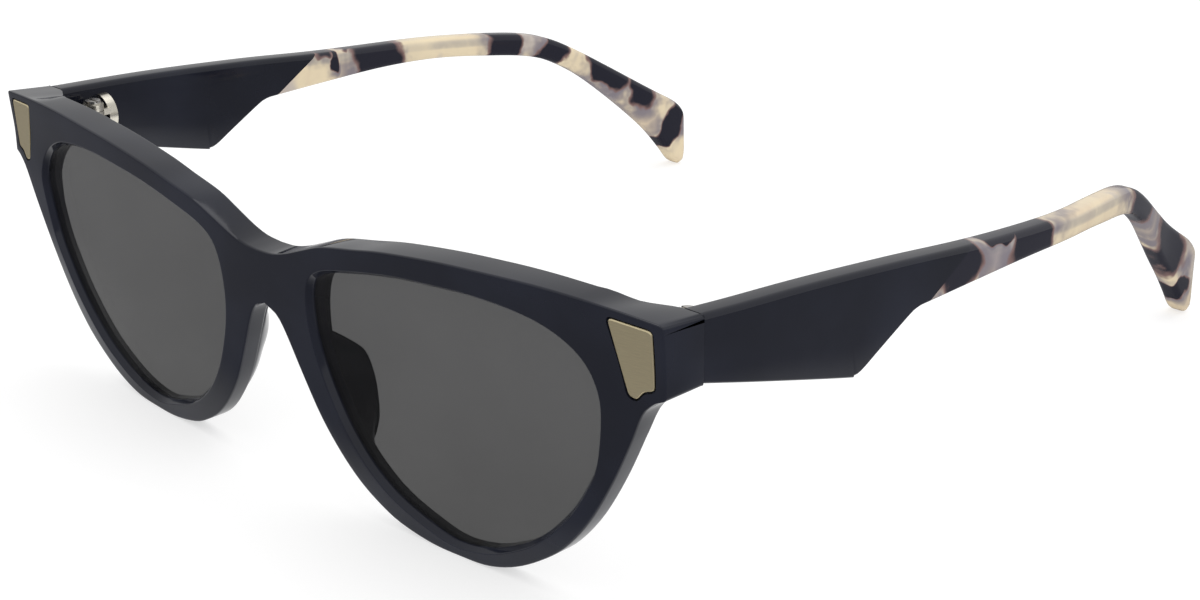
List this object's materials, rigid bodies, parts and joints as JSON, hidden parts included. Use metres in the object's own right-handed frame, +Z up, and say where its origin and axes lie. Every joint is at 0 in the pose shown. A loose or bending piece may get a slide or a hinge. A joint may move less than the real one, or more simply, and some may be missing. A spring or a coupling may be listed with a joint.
{
  "type": "sunglasses",
  "caption": "Cat-eye sunglasses with a curved acetate front, tinted lenses, metal corner plaques, and folding temples whose rear halves are spliced in mottled acetate",
  "frame": {"origin": "centre of the bounding box's base, on the surface that the lower rims and the temple tips rest on", "axes": "+X is the wearer's left-right line across the front, seen from the front as right; +Y runs back along the temples; +Z is up"},
  "size_m": [0.1396, 0.1466, 0.0429],
  "materials": {
    "black_acetate": "polished",
    "mottled_acetate": "polished",
    "lens": "smoke tint",
    "plaque": "satin",
    "hinge": "plated",
    "screw": "bright",
    "wire": "plain"
  },
  "bodies": {
    "front": {"front_frame": "black_acetate", "lens_left": "lens", "lens_right": "lens", "nose_pad_left": "black_acetate", "nose_pad_right": "black_acetate", "plaque_left": "plaque", "plaque_right": "plaque", "hinge_front_left": "hinge", "hinge_front_right": "hinge", "hinge_screw_left": "screw", "hinge_screw_right": "screw"},
    "left_temple": {"temple_left": "black_acetate", "temple_tip_left": "mottled_acetate", "hinge_temple_left": "hinge", "core_wire_left": "wire"},
    "right_temple": {"temple_right": "black_acetate", "temple_tip_right": "mottled_acetate", "hinge_temple_right": "hinge", "core_wire_right": "wire"}
  },
  "joints": [
    {"name": "left_fold", "type": "hinge", "parent": "front", "child": "left_temple", "pos_m": [-0.062, -0.05692, 0.036], "axis": [0, 0, -1], "range_deg": [0, 86]},
    {"name": "right_fold", "type": "hinge", "parent": "front", "child": "right_temple", "pos_m": [0.062, -0.05692, 0.036], "axis": [0, 0, 1], "range_deg": [0, 74]}
  ]
}
